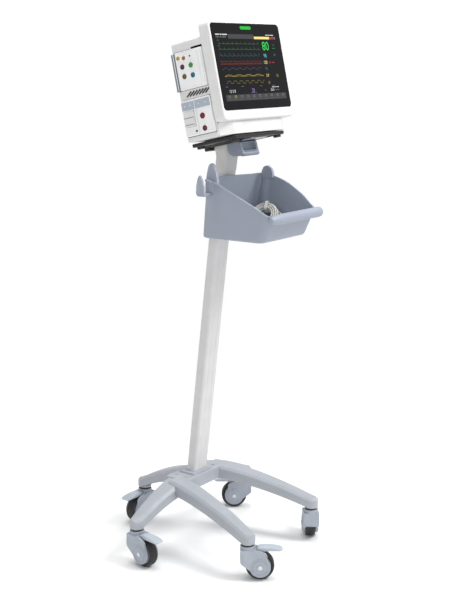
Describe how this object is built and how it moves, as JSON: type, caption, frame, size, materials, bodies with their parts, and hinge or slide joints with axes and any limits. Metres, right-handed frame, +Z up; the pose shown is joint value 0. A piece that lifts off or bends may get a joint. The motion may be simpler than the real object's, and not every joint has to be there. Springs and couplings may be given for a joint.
{
  "type": "patient monitor on rolling stand",
  "caption": "Bedside patient monitor with side modules, held on a leaning mast with a basket and a rolling caster base.",
  "frame": {"origin": "floor point below the centre of the whole object's bounding box", "axes": "+Z up; front (screen) towards -Y; +X to the right of a person facing the screen"},
  "size_m": [0.5553, 0.5775, 1.4177],
  "materials": {
    "base_grey": "satin paint on a casting",
    "caster_grey": "satin",
    "pedal_grey": "satin",
    "rubber_black": "matt",
    "tyre_black": "matt",
    "steel": "satin",
    "mast_paint": "satin paint",
    "basket_blue_grey": "fine grain",
    "black_metal": "fine texture",
    "lever_grey": "satin",
    "case_white": "fine grain",
    "glass_black": "gloss",
    "lcd": "gloss",
    "lens_green": "gloss",
    "module_white": "satin",
    "board_green": "solder mask",
    "sheet_metal": "satin",
    "battery_grey": "matt",
    "plastic_black": "matt",
    "cable_grey": "matt"
  },
  "bodies": {
    "stand": {"base_star": "base_grey", "caster_stem_side_left": "rubber_black", "caster_stem_front_left": "rubber_black", "caster_stem_front_right": "rubber_black", "caster_stem_side_right": "rubber_black", "caster_stem_rear": "rubber_black", "mast_tube": "mast_paint", "mount_head": "mast_paint", "mount_plate": "black_metal", "dock_tongue": "steel", "basket": "basket_blue_grey", "basket_clamp": "basket_blue_grey", "cable_coil": "cable_grey", "cable_lead": "cable_grey", "cable_plug": "module_white", "cable_yoke": "module_white"},
    "caster_side_left": {"caster_fork_side_left": "caster_grey", "wheel_axle_side_left": "steel"},
    "wheel_side_left": {"wheel_hub_side_left": "caster_grey", "tyre_side_left": "tyre_black"},
    "pedal_side_left": {"brake_pedal_side_left": "pedal_grey"},
    "caster_front_left": {"caster_fork_front_left": "caster_grey", "wheel_axle_front_left": "steel"},
    "wheel_front_left": {"wheel_hub_front_left": "caster_grey", "tyre_front_left": "tyre_black"},
    "pedal_front_left": {"brake_pedal_front_left": "pedal_grey"},
    "caster_front_right": {"caster_fork_front_right": "caster_grey", "wheel_axle_front_right": "steel"},
    "wheel_front_right": {"wheel_hub_front_right": "caster_grey", "tyre_front_right": "tyre_black"},
    "pedal_front_right": {"brake_pedal_front_right": "pedal_grey"},
    "caster_side_right": {"caster_fork_side_right": "caster_grey", "wheel_axle_side_right": "steel"},
    "wheel_side_right": {"wheel_hub_side_right": "caster_grey", "tyre_side_right": "tyre_black"},
    "pedal_side_right": {"brake_pedal_side_right": "pedal_grey"},
    "caster_rear": {"caster_fork_rear": "caster_grey", "wheel_axle_rear": "steel"},
    "wheel_rear": {"wheel_hub_rear": "caster_grey", "tyre_rear": "tyre_black"},
    "pedal_rear": {"brake_pedal_rear": "pedal_grey"},
    "monitor": {"front_bezel": "case_white", "touch_glass": "glass_black", "alarm_lens": "lens_green", "lcd_panel": "lcd", "rear_housing": "case_white", "lower_cover": "case_white", "main_board": "board_green", "power_supply": "sheet_metal", "battery_pack": "battery_grey", "speaker": "plastic_black", "mains_inlet": "plastic_black"},
    "upper_module": {"upper_module": "module_white"},
    "lower_front_module": {"lower_front_module": "module_white"},
    "lower_rear_module": {"lower_rear_module": "module_white"},
    "water_trap": {"water_trap": "case_white"},
    "power_button": {"power_button": "module_white"},
    "battery_door": {"battery_door": "case_white"},
    "release_lever": {"release_lever": "lever_grey"},
    "fan_rotor": {"fan_rotor": "plastic_black"}
  },
  "joints": [
    {"name": "caster_swivel_side_left", "type": "hinge", "parent": "stand", "child": "caster_side_left", "pos_m": [-0.24838, 0.08526, 0.098], "axis": [0, 0, 1], "continuous": true},
    {"name": "wheel_spin_side_left", "type": "hinge", "parent": "caster_side_left", "child": "wheel_side_left", "pos_m": [-0.25283, 0.05357, 0.0375], "axis": [0.9903, -0.1392, 0], "continuous": true},
    {"name": "brake_pedal_side_left", "type": "hinge", "parent": "caster_side_left", "child": "pedal_side_left", "pos_m": [-0.25311, 0.05159, 0.083], "axis": [0.9903, -0.1392, 0], "range_deg": [0, 12]},
    {"name": "caster_swivel_front_left", "type": "hinge", "parent": "stand", "child": "caster_front_left", "pos_m": [-0.1532, -0.20766, 0.098], "axis": [0, 0, 1], "continuous": true},
    {"name": "wheel_spin_front_left", "type": "hinge", "parent": "caster_front_left", "child": "wheel_front_left", "pos_m": [-0.13421, -0.23342, 0.0375], "axis": [0.8049, 0.5934, 0], "continuous": true},
    {"name": "brake_pedal_front_left", "type": "hinge", "parent": "caster_front_left", "child": "pedal_front_left", "pos_m": [-0.13302, -0.23503, 0.083], "axis": [0.8049, 0.5934, 0], "range_deg": [0, 12]},
    {"name": "caster_swivel_front_right", "type": "hinge", "parent": "stand", "child": "caster_front_right", "pos_m": [0.1548, -0.20766, 0.098], "axis": [0, 0, 1], "continuous": true},
    {"name": "wheel_spin_front_right", "type": "hinge", "parent": "caster_front_right", "child": "wheel_front_right", "pos_m": [0.18052, -0.18863, 0.0375], "axis": [-0.5948, 0.8039, 0], "continuous": true},
    {"name": "brake_pedal_front_right", "type": "hinge", "parent": "caster_front_right", "child": "pedal_front_right", "pos_m": [0.18213, -0.18744, 0.083], "axis": [-0.5948, 0.8039, 0], "range_deg": [0, 12]},
    {"name": "caster_swivel_side_right", "type": "hinge", "parent": "stand", "child": "caster_side_right", "pos_m": [0.24998, 0.08526, 0.098], "axis": [0, 0, 1], "continuous": true},
    {"name": "wheel_spin_side_right", "type": "hinge", "parent": "caster_side_right", "child": "wheel_side_right", "pos_m": [0.23099, 0.11102, 0.0375], "axis": [-0.8049, -0.5934, 0], "continuous": true},
    {"name": "brake_pedal_side_right", "type": "hinge", "parent": "caster_side_right", "child": "pedal_side_right", "pos_m": [0.2298, 0.11263, 0.083], "axis": [-0.8049, -0.5934, 0], "range_deg": [0, 12]},
    {"name": "caster_swivel_rear", "type": "hinge", "parent": "stand", "child": "caster_rear", "pos_m": [0.0008, 0.2663, 0.098], "axis": [0, 0, 1], "continuous": true},
    {"name": "wheel_spin_rear", "type": "hinge", "parent": "caster_rear", "child": "wheel_rear", "pos_m": [-0.03118, 0.26742, 0.0375], "axis": [-0.0349, -0.9994, 0], "continuous": true},
    {"name": "brake_pedal_rear", "type": "hinge", "parent": "caster_rear", "child": "pedal_rear", "pos_m": [-0.03318, 0.26749, 0.083], "axis": [-0.0349, -0.9994, 0], "range_deg": [0, 12]},
    {"name": "monitor_slide", "type": "slide", "parent": "stand", "child": "monitor", "axis": [0, -0.9753, 0.2209], "range_m": [0, 0.1]},
    {"name": "upper_module_slide", "type": "slide", "parent": "monitor", "child": "upper_module", "axis": [-1, 0, 0], "range_m": [0, 0.11]},
    {"name": "lower_front_module_slide", "type": "slide", "parent": "monitor", "child": "lower_front_module", "axis": [-1, 0, 0], "range_m": [0, 0.11]},
    {"name": "lower_rear_module_slide", "type": "slide", "parent": "monitor", "child": "lower_rear_module", "axis": [-1, 0, 0], "range_m": [0, 0.11]},
    {"name": "water_trap_slide", "type": "slide", "parent": "lower_rear_module", "child": "water_trap", "axis": [-1, 0, 0], "range_m": [0, 0.03]},
    {"name": "power_button_press", "type": "slide", "parent": "monitor", "child": "power_button", "axis": [0, 0.9753, -0.2209], "range_m": [0, 0.0015], "stiffness_N_per_m": 300, "springref_m": -0.001},
    {"name": "battery_door_hinge", "type": "hinge", "parent": "monitor", "child": "battery_door", "pos_m": [0.1306, -0.06042, 1.13039], "axis": [0, 0.9753, -0.2209], "range_deg": [0, 100]},
    {"name": "release_lever_pull", "type": "hinge", "parent": "stand", "child": "release_lever", "pos_m": [0.0008, -0.06054, 1.10274], "axis": [1, 0, 0], "range_deg": [0, 15], "stiffness_Nm_per_rad": 0.2, "springref_deg": -14.32},
    {"name": "fan_spin", "type": "hinge", "parent": "monitor", "child": "fan_rotor", "pos_m": [0.0348, 0.02935, 1.30949], "axis": [0, 0.9753, -0.2209], "continuous": true}
  ]
}
